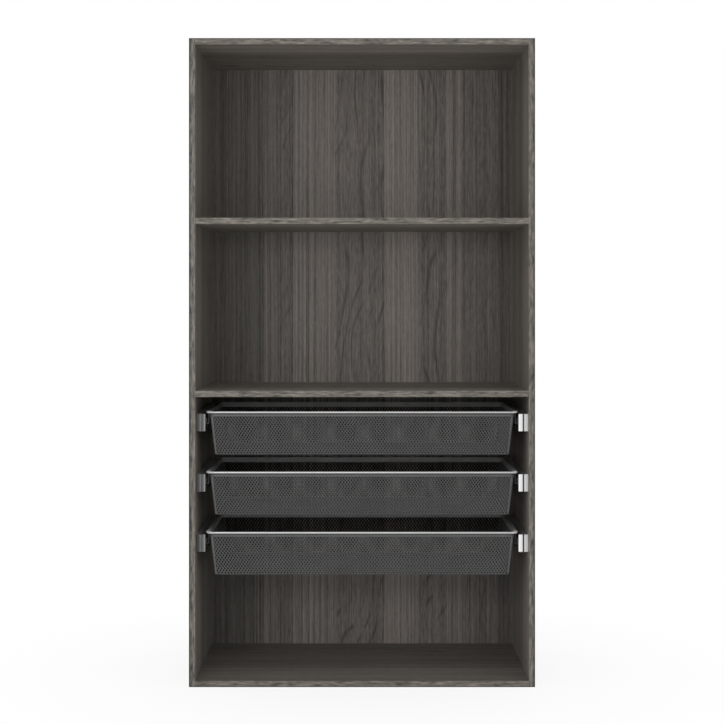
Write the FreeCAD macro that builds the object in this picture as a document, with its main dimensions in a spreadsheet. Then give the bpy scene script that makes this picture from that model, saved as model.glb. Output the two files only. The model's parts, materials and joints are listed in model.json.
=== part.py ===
import FreeCAD, Part
import math
import os
import re
import Sketcher

# Wardrobe frame with three mesh baskets on telescopic runners, in millimetres.
# X is the width, the open front faces -Y, Z is up, and the origin is under the middle of the carcass.

DRIVING_SIZES = {
    # Carcass boards
    "frame_width": 1000,
    "frame_depth": 580,
    "frame_height": 1875,
    "board": 18,
    "edging": 1,
    "lower_shelf_level": 838,
    "shelf_pitch": 500,
    "shelf_end_play": 0.2,
    "shelf_back_play": 1.5,
    "back_board": 6,
    "back_inset": 20,
    "groove_depth": 8,
    "groove_play": 0.2,
    # Cam fixings and dowels of the horizontal boards
    "fixing_front": 70,
    "fixing_rear": 90,
    "fixing_skin": 6,
    "fixing_play": 0.15,
    "cam_radius": 7.5,
    "cam_reach": 34,
    "cam_cover": 0.4,
    "cam_slot_width": 2,
    "cam_slot_length": 10,
    "cam_slot_depth": 3,
    "bolt_radius": 3,
    "bolt_neck_radius": 2,
    "bolt_neck_length": 5,
    "bolt_head_length": 3,
    "dowel_radius": 4,
    "dowel_reach": 24,
    "dowel_offset": 40,
    # Runners: a spacer tube on the side panel and a three-part slide on the spacer
    "runner_drop": 75.5,
    "runner_pitch": 175,
    "runner_setback": 25,
    "runner_rear_gap": 79,
    "spacer_width": 14.8,
    "spacer_wall": 1.5,
    "slide_height": 50,
    "slide_sheet": 1.2,
    "slide_lip": 1.2,
    "slide_play": 0.3,
    "flange_setback": 1,
    "ball_radius": 2,
    "ball_play": 0.3,
    "pocket_play": 0.1,
    "cage_sheet": 0.5,
    "cage_rim": 0.6,
    "cage_length": 190,
    "cage_end": 15,
    "screw_radius": 1.75,
    "screw_head_radius": 3.6,
    "screw_play": 0.1,
    "screw_end": 40,
    "cap_plate": 2,
    "cap_play": 0.3,
    "cap_plug": 12,
    # Baskets
    "basket_setback": 23,
    "basket_rear_gap": 62,
    "basket_height": 128.5,
    "basket_draft": 14,
    "basket_sheet": 1,
    "basket_corner": 14,
    "basket_weld": 0.05,
    "rim_lift": 8.3,
    "rim_side_play": 0.3,
    "rim_overhang": 10.15,
    "rim_nose": 3.35,
    "rim_sheet": 1.2,
    "rim_return": 2.2,
    "rim_cover": 1.6,
    "rim_collar": 15.5,
    "hook_sheet": 1.5,
    "hook_play": 0.5,
    "hook_drop": 5.8,
    "hook_margin": 1.4,
    "hook_width": 25,
    "hook_inset": 8,
}
BASKETS = ("top", "middle", "bottom")
SIDES = {"left": -1, "right": 1}
BALLS_PER_ROW = 9
SCREWS_PER_RUNNER = 3
PLANE_SIGNS = {"XY_Plane": 1, "XZ_Plane": -1, "YZ_Plane": 1}
CUTTING_FEATURES = ("PartDesign::Pocket", "PartDesign::SubtractiveCone", "PartDesign::SubtractiveLoft")

doc = FreeCAD.newDocument("wardrobe_frame")
sizes = doc.addObject("Spreadsheet::Sheet", "Sizes")
for row, (size_name, size_value) in enumerate(DRIVING_SIZES.items(), start=1):
    sizes.set(f"A{row}", size_name)
    sizes.set(f"B{row}", str(size_value))
    sizes.setAlias(f"B{row}", size_name)
doc.recompute()

sub_parts = []


# Sizes worked out from the sheet, each an expression in brackets

FRONT = "(-frame_depth / 2)"
REAR = "(frame_depth / 2)"
CORE_FRONT = f"({FRONT} + edging)"
INNER_X = "(frame_width / 2 - board)"
BACK_FACE = f"({REAR} - back_inset - back_board)"
TOP_LEVEL = "(frame_height - board)"
BOARD_LEVELS = {
    "top_panel": TOP_LEVEL,
    "upper_shelf": "(lower_shelf_level + shelf_pitch)",
    "lower_shelf": "lower_shelf_level",
    "bottom_panel": "0",
}
FIXING_LINES = (f"({FRONT} + fixing_front)", f"({REAR} - fixing_rear)")
DOWEL_LINES = (f"({FRONT} + fixing_front + dowel_offset)", f"({REAR} - fixing_rear - dowel_offset)")
BLIND_DEPTH = "(board - fixing_skin)"
BOLT_BORE = "(bolt_radius + fixing_play)"
DOWEL_BORE = "(dowel_radius + fixing_play)"
CAM_DEPTH = f"(board / 2 + {BOLT_BORE} + cam_cover)"
CAM_X = f"({INNER_X} - cam_reach)"
RUNNER_FRONT = f"({FRONT} + runner_setback)"
RUNNER_REAR = f"({BACK_FACE} - runner_rear_gap)"
RUNNER_LENGTH = f"({RUNNER_REAR} - {RUNNER_FRONT})"
SPACER_FACE = f"({INNER_X} - spacer_width)"
HALF_SLIDE = "(slide_height / 2)"
RACE = "(2 * ball_radius + 2 * ball_play)"
MIDDLE_HALF = f"({HALF_SLIDE} - slide_sheet - {RACE})"
INNER_HALF = f"({MIDDLE_HALF} - slide_sheet - {RACE})"
OUTER_CAGE_WEB = "(slide_sheet + slide_play)"
MIDDLE_WEB = f"({OUTER_CAGE_WEB} + cage_sheet + slide_play)"
INNER_CAGE_WEB = f"({MIDDLE_WEB} + slide_sheet + slide_play)"
INNER_TIP = f"({INNER_CAGE_WEB} + cage_sheet + slide_play)"
FLANGE_TIP = f"({INNER_TIP} + {RACE} + 2 * slide_sheet)"
SLIDE_WIDTH = f"({FLANGE_TIP} + flange_setback)"
SLIDE_FACE = f"({SPACER_FACE} - {SLIDE_WIDTH})"
BALL_LINE = f"(({INNER_TIP} + {FLANGE_TIP}) / 2)"
OUTER_ROW = f"({MIDDLE_HALF} + {RACE} / 2)"
INNER_ROW = f"({INNER_HALF} + {RACE} / 2)"
CAGE_FRONT = f"({RUNNER_FRONT} + {RUNNER_LENGTH} / 2 - cage_length / 2)"
CAGE_REAR = f"({CAGE_FRONT} + cage_length)"
POCKET_RADIUS = "(ball_radius + pocket_play)"
CAGE_TIP = f"({BALL_LINE} + {POCKET_RADIUS} + cage_rim)"
SCREW_STEP = f"(({RUNNER_LENGTH} - 2 * screw_end) / {SCREWS_PER_RUNNER - 1})"
SCREW_LINES = tuple(f"({RUNNER_FRONT} + screw_end + {n} * {SCREW_STEP})" for n in range(SCREWS_PER_RUNNER))
SCREW_BORE = "(screw_radius + screw_play)"
RIM_HALF_WIDTH = f"({SLIDE_FACE} - rim_side_play)"
RIM_FRONT = f"({FRONT} + basket_setback)"
RIM_REAR = f"({BACK_FACE} - basket_rear_gap)"
SEAM_HALF_WIDTH = f"({RIM_HALF_WIDTH} - rim_overhang)"
SEAM_FRONT = f"({RIM_FRONT} + rim_overhang)"
SEAM_REAR = f"({RIM_REAR} - rim_overhang)"
HOOK_SPAN = "(rim_side_play + rim_nose + rim_return + hook_play + hook_sheet)"
GROOVE_FRONT = f"({BACK_FACE} - groove_play)"
GROOVE_REAR = f"({REAR} - back_inset + groove_play)"


def runner_level(basket):
    return f"(lower_shelf_level - runner_drop - {BASKETS.index(basket)} * runner_pitch)"


def rim_top(basket):
    return f"({runner_level(basket)} + {HALF_SLIDE} + rim_lift)"


# Small helpers that bind a feature to the sheet

def spelled(text):
    return re.sub(r"[a-z_]{2,}", lambda word: "Sizes." + word.group(0), str(text))


def value(text):
    return float(sizes.evalExpression(str(text)))


def bind(feature, name, text):
    feature.setExpression(name, spelled(text))


def new_body(label):
    body = doc.addObject("PartDesign::Body", label)
    body.Label = label
    return body


def keep(feature):
    sub_parts.append(feature)
    return feature


def sketch_on(body, role, level):
    """A sketch on one of the body's origin planes, moved to a level along the matching axis."""
    sketch = body.newObject("Sketcher::SketchObject", "Sketch")
    plane = next(item for item in body.Origin.OriginFeatures if item.Role == role)
    sketch.AttachmentSupport = [(plane, "")]
    sketch.MapMode = "FlatFace"
    bind(sketch, ".AttachmentOffset.Base.z", f"{PLANE_SIGNS[role]} * {level}")
    return sketch


def constrain(sketch, constraints, bindings):
    first = sketch.ConstraintCount
    sketch.addConstraint(constraints)
    for index, text in bindings.items():
        bind(sketch, f"Constraints[{first + index}]", text)


def arc_between(start, end, centre, turn):
    """The circle stretch from start to end; turn is 1 for anticlockwise and -1 for clockwise."""
    radius = math.dist(start, centre)
    angles = [math.atan2(point[1] - centre[1], point[0] - centre[0]) for point in (start, end)]
    if turn < 0:
        angles.reverse()
    if angles[1] <= angles[0]:
        angles[1] += 2 * math.pi
    circle = Part.Circle(FreeCAD.Vector(*centre, 0), FreeCAD.Vector(0, 0, 1), radius)
    return Part.ArcOfCircle(circle, *angles)


def draw_outline(sketch, corners):
    """A closed outline. A corner is (x, y), or (x, y, centre_x, centre_y, turn) where an arc leaves it."""
    base = sketch.GeometryCount
    places = [(value(corner[0]), value(corner[1])) for corner in corners]
    ends = []
    for index, corner in enumerate(corners):
        start = places[index]
        end = places[(index + 1) % len(corners)]
        if len(corner) == 2:
            sketch.addGeometry(Part.LineSegment(FreeCAD.Vector(*start, 0), FreeCAD.Vector(*end, 0)))
            ends.append((1, 2))
        else:
            centre = (value(corner[2]), value(corner[3]))
            sketch.addGeometry(arc_between(start, end, centre, corner[4]))
            ends.append((1, 2) if corner[4] > 0 else (2, 1))
    constraints = []
    bindings = {}
    for index, corner in enumerate(corners):
        following = (index + 1) % len(corners)
        constraints.append(Sketcher.Constraint(
            "Coincident", base + index, ends[index][1], base + following, ends[following][0]))
        for name, text, place in zip(("DistanceX", "DistanceY"), corner[:2], places[index]):
            bindings[len(constraints)] = text
            constraints.append(Sketcher.Constraint(name, base + index, ends[index][0], place))
        if len(corner) > 2:
            run_x, run_y = (abs(a - b) for a, b in zip(places[index], places[following]))
            name, text = ("DistanceX", corner[2]) if run_x < run_y else ("DistanceY", corner[3])
            bindings[len(constraints)] = text
            constraints.append(Sketcher.Constraint(name, base + index, 3, value(text)))
    constrain(sketch, constraints, bindings)


def draw_circles(sketch, centres, radius):
    base = sketch.GeometryCount
    constraints = []
    bindings = {}
    for index, (x, y) in enumerate(centres):
        centre = FreeCAD.Vector(value(x), value(y), 0)
        sketch.addGeometry(Part.Circle(centre, FreeCAD.Vector(0, 0, 1), value(radius)))
        for name, text, place in (("DistanceX", x, centre.x), ("DistanceY", y, centre.y)):
            bindings[len(constraints)] = text
            constraints.append(Sketcher.Constraint(name, base + index, 3, place))
        bindings[len(constraints)] = radius
        constraints.append(Sketcher.Constraint("Radius", base + index, value(radius)))
    constrain(sketch, constraints, bindings)


def rectangle(x_low, x_high, y_low, y_high):
    return [(x_low, y_low), (x_high, y_low), (x_high, y_high), (x_low, y_high)]


def rounded_rectangle(x_low, x_high, y_low, y_high, radius):
    left, right = f"({x_low} + {radius})", f"({x_high} - {radius})"
    near, far = f"({y_low} + {radius})", f"({y_high} - {radius})"
    return [
        (left, y_low), (right, y_low, right, near, 1),
        (x_high, near), (x_high, far, right, far, 1),
        (right, y_high), (left, y_high, left, far, 1),
        (x_low, far), (x_low, near, left, near, 1),
    ]


def grow(body, role, level, length, outlines):
    """A pad from a level: upwards from XY, towards the front from XZ, to the right from YZ."""
    sketch = sketch_on(body, role, level)
    for outline in outlines:
        draw_outline(sketch, outline)
    pad = body.newObject("PartDesign::Pad", "Pad")
    pad.Profile = sketch
    bind(pad, "Length", length)


def sink(body, sketch, depth, along=False):
    """A pocket against the sketch's axis, or along it."""
    pocket = body.newObject("PartDesign::Pocket", "Pocket")
    pocket.Profile = sketch
    pocket.Reversed = along
    bind(pocket, "Length", depth)


def bore(body, role, level, depth, centres, radius, along=False):
    sketch = sketch_on(body, role, level)
    draw_circles(sketch, centres, radius)
    sink(body, sketch, depth, along)


def cut_slot(body, role, level, depth, outline, along=False):
    sketch = sketch_on(body, role, level)
    draw_outline(sketch, outline)
    sink(body, sketch, depth, along)


def turned(label, profile):
    """A body turned about the X axis from (x, radius) corners."""
    body = new_body(label)
    sketch = sketch_on(body, "XY_Plane", "0")
    draw_outline(sketch, profile)
    revolution = body.newObject("PartDesign::Revolution", "Revolution")
    revolution.Profile = sketch
    revolution.ReferenceAxis = (sketch, ["H_Axis"])
    return body


def group_of(label, pieces):
    group = doc.addObject("Part::Compound", label)
    group.Label = label
    group.Links = pieces
    keep(group)


def copies(label, places):
    """One node of separate solids that link to pattern bodies: (pattern, x, y, z, axis, angle)."""
    links = []
    for pattern, x, y, z, axis, angle in places:
        link = doc.addObject("App::Link", f"{label}_copy")
        link.LinkedObject = pattern
        link.Placement = FreeCAD.Placement(FreeCAD.Vector(), FreeCAD.Rotation(FreeCAD.Vector(*axis), angle))
        for name, text in zip("xyz", (x, y, z)):
            bind(link, f".Placement.Base.{name}", text)
        links.append(link)
    group_of(label, links)


def placed_across(points, side):
    """Section points, given as (distance from the spacer's face, level), on the left or the right."""
    return [(f"({side} * ({SPACER_FACE} - {across}))", height) for across, height in points]


# Carcass

def middle_of(level):
    return f"({level} + board / 2)"


def side_panel(name, side):
    inner = f"({side} * {INNER_X})"
    low, high = ("(-frame_width / 2)", inner) if side < 0 else (inner, "(frame_width / 2)")
    body = keep(new_body(f"{name}_side_panel"))
    grow(body, "XY_Plane", "0", "frame_height", [rectangle(low, high, CORE_FRONT, REAR)])
    groove = rectangle(GROOVE_FRONT, GROOVE_REAR, "0", "frame_height")
    cut_slot(body, "YZ_Plane", inner, "groove_depth", groove, side > 0)
    levels = [middle_of(level) for level in BOARD_LEVELS.values()]
    bolts = [(line, level) for level in levels for line in FIXING_LINES]
    dowels = [(line, level) for level in levels for line in DOWEL_LINES]
    screws = [(line, runner_level(basket)) for basket in BASKETS for line in SCREW_LINES]
    bore(body, "YZ_Plane", inner, BLIND_DEPTH, bolts, BOLT_BORE, side > 0)
    bore(body, "YZ_Plane", inner, BLIND_DEPTH, dowels, DOWEL_BORE, side > 0)
    bore(body, "YZ_Plane", inner, BLIND_DEPTH, screws, SCREW_BORE, side > 0)


def horizontal_board(name, end_play, rear, cams_above, groove_level):
    level = BOARD_LEVELS[name]
    half = f"({INNER_X} - {end_play})"
    body = keep(new_body(name))
    grow(body, "XY_Plane", level, "board", [rectangle(f"(-{half})", half, CORE_FRONT, rear)])
    if groove_level is not None:
        groove = rectangle(f"(-{half})", half, GROOVE_FRONT, GROOVE_REAR)
        cut_slot(body, "XY_Plane", groove_level, "groove_depth", groove, cams_above)
    for side in SIDES.values():
        end = f"({side} * {half})"
        bolts = [(line, middle_of(level)) for line in FIXING_LINES]
        dowels = [(line, middle_of(level)) for line in DOWEL_LINES]
        bore(body, "YZ_Plane", end, "cam_reach", bolts, BOLT_BORE, side < 0)
        bore(body, "YZ_Plane", end, "(dowel_reach + fixing_play)", dowels, DOWEL_BORE, side < 0)
    cams = [(f"({side} * {CAM_X})", line) for side in SIDES.values() for line in FIXING_LINES]
    face = f"({level} + board)" if cams_above else level
    bore(body, "XY_Plane", face, CAM_DEPTH, cams, "(cam_radius + fixing_play)", not cams_above)


def back_panel():
    reach = "(groove_depth - groove_play)"
    half = f"({INNER_X} + {reach})"
    low, high = f"(board - {reach})", f"({TOP_LEVEL} + {reach})"
    body = keep(new_body("back_panel"))
    outline = rectangle(f"(-{half})", half, low, high)
    grow(body, "XZ_Plane", f"({REAR} - back_inset)", "back_board", [outline])


def edging_strips():
    for name, side in SIDES.items():
        low, high = sorted((f"({side} * {INNER_X})", f"({side} * frame_width / 2)"), key=value)
        body = keep(new_body(f"{name}_side_edging"))
        grow(body, "XZ_Plane", CORE_FRONT, "edging", [rectangle(low, high, "0", "frame_height")])
    for name, level in BOARD_LEVELS.items():
        half = INNER_X if name.endswith("panel") else f"({INNER_X} - shelf_end_play)"
        body = keep(new_body(f"{name}_edging"))
        outline = rectangle(f"(-{half})", half, level, f"({level} + board)")
        grow(body, "XZ_Plane", CORE_FRONT, "edging", [outline])


def board_fixings():
    root = f"(fixing_play - {BLIND_DEPTH})"
    bolt_tip = "(cam_reach + bolt_head_length / 2)"
    neck_end = f"({bolt_tip} - bolt_head_length)"
    neck_start = f"({neck_end} - bolt_neck_length)"
    bolt = turned("cam_bolt_pattern", [
        (root, "0"), (bolt_tip, "0"), (bolt_tip, "bolt_radius"), (neck_end, "bolt_radius"),
        (neck_end, "bolt_neck_radius"), (neck_start, "bolt_neck_radius"), (neck_start, "bolt_radius"),
        (root, "bolt_radius")])
    dowel = turned("dowel_pattern", rectangle(root, "dowel_reach", "0", "dowel_radius"))
    cam = cam_pattern()
    bolts, dowels, cams = [], [], []
    for name, level in BOARD_LEVELS.items():
        for side in SIDES.values():
            wall = f"({side} * {INNER_X})"
            turn = ((0, 0, 1), 0 if side < 0 else 180)
            bolts += [(bolt, wall, line, middle_of(level)) + turn for line in FIXING_LINES]
            dowels += [(dowel, wall, line, middle_of(level)) + turn for line in DOWEL_LINES]
            if name == "top_panel":
                cam_face = f"({level} + board)"
                cam_turn = ((0, 1, 0) if side < 0 else (1, 0, 0), 180)
            else:
                cam_face = level
                cam_turn = ((0, 0, 1), 180 if side < 0 else 0)
            cams += [(cam, f"({side} * {CAM_X})", line, cam_face) + cam_turn for line in FIXING_LINES]
    copies("cam_bolts", bolts)
    copies("wooden_dowels", dowels)
    copies("cam_locks", cams)


def cam_pattern():
    """A cam lock standing on its slotted face, its bolt chamber open towards +X."""
    body = new_body("cam_lock_pattern")
    sketch = sketch_on(body, "XY_Plane", "0")
    draw_circles(sketch, [("0", "0")], "cam_radius")
    pad = body.newObject("PartDesign::Pad", "Pad")
    pad.Profile = sketch
    bind(pad, "Length", CAM_DEPTH)
    for length, width in (("cam_slot_length", "cam_slot_width"), ("cam_slot_width", "cam_slot_length")):
        slot = rectangle(f"(-{length} / 2)", f"({length} / 2)", f"(-{width} / 2)", f"({width} / 2)")
        cut_slot(body, "XY_Plane", "0", "cam_slot_depth", slot, True)
    chamber = "(-bolt_head_length / 2 - fixing_play)"
    bore(body, "YZ_Plane", chamber, "(2 * cam_radius)", [("0", "(board / 2)")], BOLT_BORE, True)
    return body


# Runners

def spacer_tubes(basket):
    level = runner_level(basket)
    tubes = []
    for side in SIDES.values():
        low, high = sorted((f"({side} * {INNER_X})", f"({side} * {SPACER_FACE})"), key=value)
        base, top = f"({level} - {HALF_SLIDE})", f"({level} + {HALF_SLIDE})"
        hollow = rectangle(
            f"({low} + spacer_wall)", f"({high} - spacer_wall)",
            f"({base} + spacer_wall)", f"({top} - spacer_wall)")
        body = new_body(f"{basket}_spacer_tube")
        grow(body, "XZ_Plane", RUNNER_REAR, RUNNER_LENGTH, [rectangle(low, high, base, top), hollow])
        centres = [(line, level) for line in SCREW_LINES]
        bore(body, "YZ_Plane", f"({side} * {SPACER_FACE})", "spacer_width", centres, SCREW_BORE, side > 0)
        countersink(body, f"({side} * ({SPACER_FACE} - slide_sheet))", level, side)
        tubes.append(body)
    group_of(f"{basket}_runner_spacers", tubes)


def countersink(body, face, level, side):
    """Cone seats for the screw heads, measured from the inner face of the slide's web."""
    rise = "(screw_head_radius + screw_play - screw_radius)"
    for line in SCREW_LINES:
        seat = body.newObject("PartDesign::SubtractiveCone", "Seat")
        seat.Placement = FreeCAD.Placement(
            FreeCAD.Vector(), FreeCAD.Rotation(FreeCAD.Vector(0, 1, 0), 90 * side))
        bind(seat, "Radius1", "(screw_head_radius + screw_play)")
        bind(seat, "Radius2", "screw_radius")
        bind(seat, "Height", rise)
        for name, text in zip("xyz", (face, line, level)):
            bind(seat, f".Placement.Base.{name}", text)


def cabinet_section():
    tip, sheet, lip = FLANGE_TIP, "slide_sheet", "slide_lip"
    return [
        ("0", HALF_SLIDE), (tip, HALF_SLIDE), (tip, f"({HALF_SLIDE} - {sheet} - {lip})"),
        (f"({tip} - {sheet})", f"({HALF_SLIDE} - {sheet} - {lip})"),
        (f"({tip} - {sheet})", f"({HALF_SLIDE} - {sheet})"), (sheet, f"({HALF_SLIDE} - {sheet})")]


def middle_section():
    tip, sheet, lip = FLANGE_TIP, "slide_sheet", "slide_lip"
    return [
        (MIDDLE_WEB, MIDDLE_HALF), (f"({tip} - {sheet})", MIDDLE_HALF),
        (f"({tip} - {sheet})", f"({MIDDLE_HALF} + {lip})"), (tip, f"({MIDDLE_HALF} + {lip})"),
        (tip, f"({MIDDLE_HALF} - {sheet} - {lip})"),
        (f"({tip} - {sheet})", f"({MIDDLE_HALF} - {sheet} - {lip})"),
        (f"({tip} - {sheet})", f"({MIDDLE_HALF} - {sheet})"),
        (f"({MIDDLE_WEB} + {sheet})", f"({MIDDLE_HALF} - {sheet})")]


def inner_section():
    sheet, lip = "slide_sheet", "slide_lip"
    return [
        (SLIDE_WIDTH, INNER_HALF), (f"({INNER_TIP} + {sheet})", INNER_HALF),
        (f"({INNER_TIP} + {sheet})", f"({INNER_HALF} + {lip})"), (INNER_TIP, f"({INNER_HALF} + {lip})"),
        (INNER_TIP, f"({INNER_HALF} - {sheet})"), (f"({SLIDE_WIDTH} - {sheet})", f"({INNER_HALF} - {sheet})")]


def cage_section(web, row):
    return [
        (web, f"({row} + cage_sheet / 2)"), (CAGE_TIP, f"({row} + cage_sheet / 2)"),
        (CAGE_TIP, f"({row} - cage_sheet / 2)"), (f"({web} + cage_sheet)", f"({row} - cage_sheet / 2)")]


def rolled_section(half, level, side):
    """The section's upper half and its mirror image about the runner's level."""
    upper = [(across, f"({level} + {height})") for across, height in half]
    lower = [(across, f"({level} - {height})") for across, height in reversed(half)]
    return placed_across(upper + lower, side)


def cabinet_rail(basket, name, side):
    level = runner_level(basket)
    body = keep(new_body(f"{basket}_{name}_cabinet_rail"))
    grow(body, "XZ_Plane", RUNNER_REAR, RUNNER_LENGTH, [rolled_section(cabinet_section(), level, side)])
    centres = [(line, level) for line in SCREW_LINES]
    face = f"({side} * ({SPACER_FACE} - slide_sheet))"
    bore(body, "YZ_Plane", face, "slide_sheet", centres, SCREW_BORE, side > 0)
    countersink(body, face, level, side)


def plain_rail(basket, name, side, kind, section):
    body = keep(new_body(f"{basket}_{name}_{kind}_rail"))
    outline = rolled_section(section, runner_level(basket), side)
    grow(body, "XZ_Plane", RUNNER_REAR, RUNNER_LENGTH, [outline])


def ball_cages(basket, kind, web, row):
    level = runner_level(basket)
    pitch = f"((cage_length - 2 * cage_end) / {BALLS_PER_ROW - 1})"
    lines = [f"({CAGE_FRONT} + cage_end + {n} * {pitch})" for n in range(BALLS_PER_ROW)]
    pieces = []
    for side in SIDES.values():
        body = new_body(f"{basket}_{kind}_cage_strip")
        outline = rolled_section(cage_section(web, row), level, side)
        grow(body, "XZ_Plane", CAGE_REAR, "cage_length", [outline])
        ball_x = f"({side} * ({SPACER_FACE} - {BALL_LINE}))"
        above = f"({level} + {row} + cage_sheet)"
        through = f"(2 * {row} + 2 * cage_sheet)"
        bore(body, "XY_Plane", above, through, [(ball_x, y) for y in lines], POCKET_RADIUS)
        pieces.append(body)
        for y in lines:
            for rise in (row, f"(-{row})"):
                ball = doc.addObject("Part::Sphere", f"{basket}_{kind}_ball")
                bind(ball, "Radius", "ball_radius")
                for name, text in zip("xyz", (ball_x, y, f"({level} + {rise})")):
                    bind(ball, f".Placement.Base.{name}", text)
                pieces.append(ball)
    group_of(f"{basket}_{kind}_ball_cages", pieces)


def runner_screws():
    tip = f"(spacer_width + slide_sheet + {BLIND_DEPTH} - fixing_play)"
    head = "(screw_head_radius - screw_radius)"
    screw = turned("screw_pattern", [
        ("0", "0"), (tip, "0"), (f"({tip} - screw_radius)", "screw_radius"), (head, "screw_radius"),
        ("0", "screw_head_radius")])
    places = []
    for basket in BASKETS:
        for side in SIDES.values():
            face = f"({side} * ({SPACER_FACE} - slide_sheet))"
            turn = ((0, 0, 1), 180 if side < 0 else 0)
            places += [(screw, face, line, runner_level(basket)) + turn for line in SCREW_LINES]
    copies("runner_screws", places)


def end_cap(label, across_low, across_high, plug_low, plug_high, plug_half):
    """A closing plate in front of a profile on the right-hand side, with a plug that fills its hollow."""
    body = new_body(label)
    plate = rectangle(
        f"({SPACER_FACE} - {across_high})", f"({SPACER_FACE} - {across_low})",
        f"(-{HALF_SLIDE})", HALF_SLIDE)
    plug = rectangle(
        f"({SPACER_FACE} - {plug_high})", f"({SPACER_FACE} - {plug_low})",
        f"(-{plug_half})", plug_half)
    plate_rear = f"({RUNNER_FRONT} - cap_play)"
    grow(body, "XZ_Plane", plate_rear, "(cap_plate - cap_play)", [plate])
    grow(body, "XZ_Plane", f"({RUNNER_FRONT} + cap_plug)", "(cap_plug + cap_play)", [plug])
    return body


def runner_caps():
    spacer_cap = end_cap(
        "spacer_cap_pattern", "(-spacer_width)", "(-cap_play / 2)",
        "(spacer_wall + cap_play - spacer_width)", "(-spacer_wall - cap_play)",
        f"({HALF_SLIDE} - spacer_wall - cap_play)")
    slide_cap = end_cap(
        "slide_cap_pattern", "(cap_play / 2)", SLIDE_WIDTH,
        f"({INNER_TIP} + slide_sheet + cap_play)", f"({SLIDE_WIDTH} - slide_sheet - cap_play)",
        f"({INNER_HALF} - slide_sheet - cap_play)")
    turns = [((0, 1, 0), 180 if side < 0 else 0) for side in SIDES.values()]
    spacer_places = []
    for basket in BASKETS:
        places = [("0", "0", runner_level(basket)) + turn for turn in turns]
        copies(f"{basket}_slide_caps", [(slide_cap,) + place for place in places])
        spacer_places += [(spacer_cap,) + place for place in places]
    copies("spacer_caps", spacer_places)


# Baskets

def basket_pan(basket):
    top = f"({rim_top(basket)} - rim_sheet - basket_weld)"
    low = f"({rim_top(basket)} - basket_height)"
    body = keep(new_body(f"{basket}_basket_mesh"))
    for kind, level, inset, corner in (
            ("PartDesign::AdditiveLoft", low, "(basket_weld)", "basket_corner"),
            ("PartDesign::SubtractiveLoft", f"({low} + basket_sheet)", "(basket_weld + basket_sheet)",
             "(basket_corner - basket_sheet)")):
        sections = []
        for height, draft in ((level, f"({inset} + basket_draft)"), (top, inset)):
            sketch = sketch_on(body, "XY_Plane", height)
            half = f"({SEAM_HALF_WIDTH} - {draft})"
            draw_outline(sketch, rounded_rectangle(
                f"(-{half})", half, f"({SEAM_FRONT} + {draft})", f"({SEAM_REAR} - {draft})", corner))
            sections.append(sketch)
        loft = body.newObject(kind, "Loft")
        loft.Profile = sections[0]
        loft.Sections = sections[1:]
        loft.Ruled = True


def basket_rim(basket):
    body = keep(new_body(f"{basket}_basket_rim"))
    centre = f"({rim_top(basket)} - rim_nose)"
    path = sketch_on(body, "XY_Plane", centre)
    draw_outline(path, rounded_rectangle(
        f"(-{SEAM_HALF_WIDTH})", SEAM_HALF_WIDTH, SEAM_FRONT, SEAM_REAR, "basket_corner"))
    section = sketch_on(body, "YZ_Plane", f"(basket_corner - {SEAM_HALF_WIDTH})")
    bore_radius = "(rim_nose - rim_sheet)"
    nose = "(rim_overhang - rim_nose)"
    outline = [
        ("(-rim_cover)", "rim_nose"), (nose, "rim_nose", nose, "0", 1),
        (nose, "(-rim_nose)"), (f"({nose} - rim_return)", "(-rim_nose)"),
        (f"({nose} - rim_return)", f"(-{bore_radius})"), (nose, f"(-{bore_radius})", nose, "0", -1),
        (nose, bore_radius), ("rim_sheet", bore_radius), ("rim_sheet", "(rim_nose - rim_collar)"),
        ("0", "(rim_nose - rim_collar)"), ("0", bore_radius), ("(-rim_cover)", bore_radius)]
    placed = []
    for corner in outline:
        spot = [f"({SEAM_FRONT} - {corner[0]})", f"({centre} + {corner[1]})"]
        if len(corner) > 2:
            spot += [f"({SEAM_FRONT} - {corner[2]})", f"({centre} + {corner[3]})", corner[4]]
        placed.append(tuple(spot))
    draw_outline(section, placed)
    pipe = body.newObject("PartDesign::AdditivePipe", "Pipe")
    pipe.Profile = section
    pipe.Spine = path


def hook_pattern(name, side):
    """A bent strip against the inner rail, at the runner's level. Its upper leg carries the rim."""
    bend = f"({HOOK_SPAN} / 2)"
    seat = f"(rim_lift + {HALF_SLIDE} - rim_sheet)"
    middle = f"({bend} - hook_drop)"
    plate_top = f"({INNER_HALF} - hook_margin)"
    leg = f"({HOOK_SPAN} - hook_sheet)"
    outline = [
        ("0", plate_top), ("0", middle, -side), (HOOK_SPAN, middle), (HOOK_SPAN, seat), (leg, seat),
        (leg, middle, side), ("hook_sheet", middle), ("hook_sheet", plate_top)]
    placed = []
    for across, height, *turn in outline:
        arc = [f"({side} * ({SLIDE_FACE} - {bend}))", middle] + turn if turn else []
        placed.append((f"({side} * ({SLIDE_FACE} - {across}))", height, *arc))
    body = new_body(f"{name}_hook_pattern")
    grow(body, "XZ_Plane", "hook_width", "hook_width", [placed])
    return body


def basket_hooks():
    patterns = [hook_pattern(name, side) for name, side in SIDES.items()]
    lines = (
        f"({SEAM_FRONT} + basket_corner + hook_inset)",
        f"({SEAM_REAR} - basket_corner - hook_inset - hook_width)")
    for basket in BASKETS:
        level = runner_level(basket)
        places = [(pattern, "0", line, level, (0, 0, 1), 0) for pattern in patterns for line in lines]
        copies(f"{basket}_basket_hooks", places)


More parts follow.
